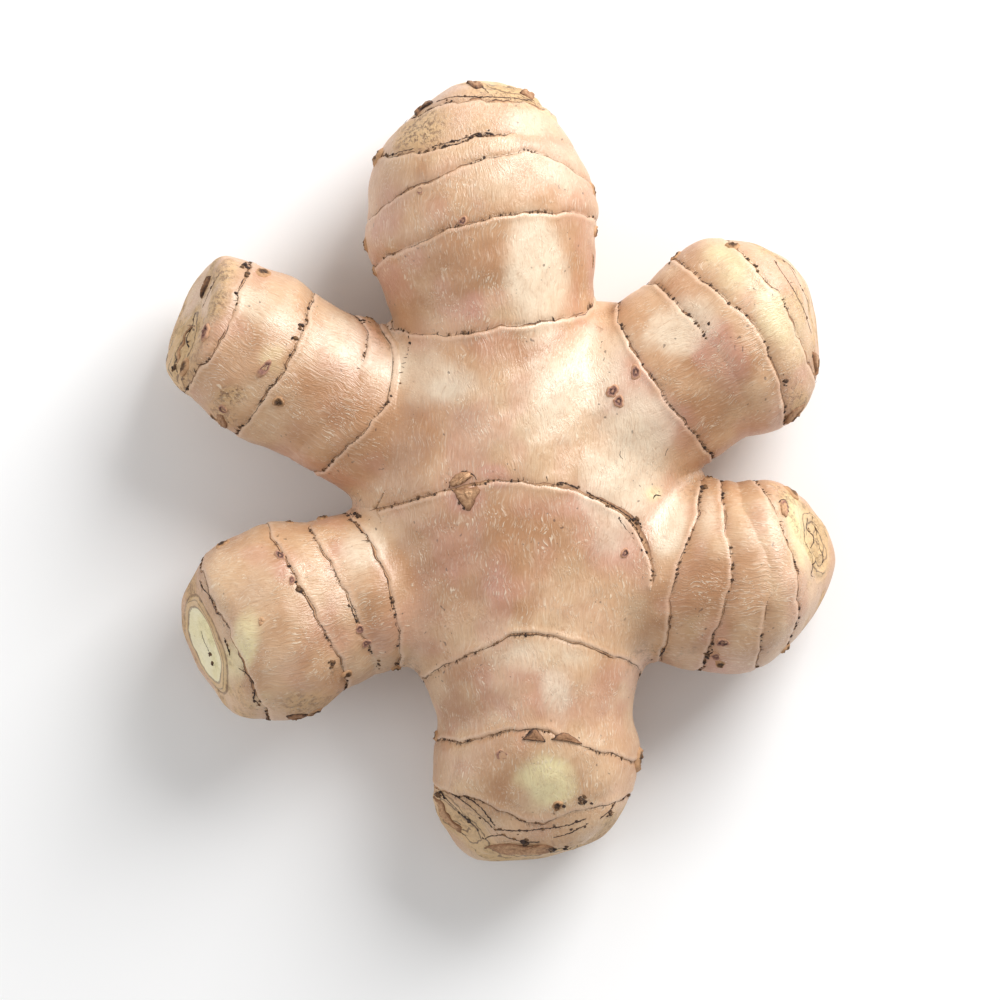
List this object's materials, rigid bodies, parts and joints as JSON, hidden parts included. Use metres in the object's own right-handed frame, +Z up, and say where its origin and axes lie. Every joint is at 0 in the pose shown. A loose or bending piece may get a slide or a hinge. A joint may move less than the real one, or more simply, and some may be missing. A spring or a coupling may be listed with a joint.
{
  "type": "fresh ginger root",
  "caption": "Whole fresh ginger root lying on its back: a broad ringed hub with stubby ringed fingers, small buds, root stubs and corky dried tips.",
  "frame": {"origin": "on the surface that the root lies on, under the middle of its bounding box", "axes": "+Z up, away from the surface; +Y along the stem from the bottom finger to the top finger; +X to the right of the stem seen from above"},
  "size_m": [0.1037, 0.1207, 0.0318],
  "materials": {
    "skin": null
  },
  "bodies": {
    "root": {"rhizome": "skin"}
  },
  "joints": []
}
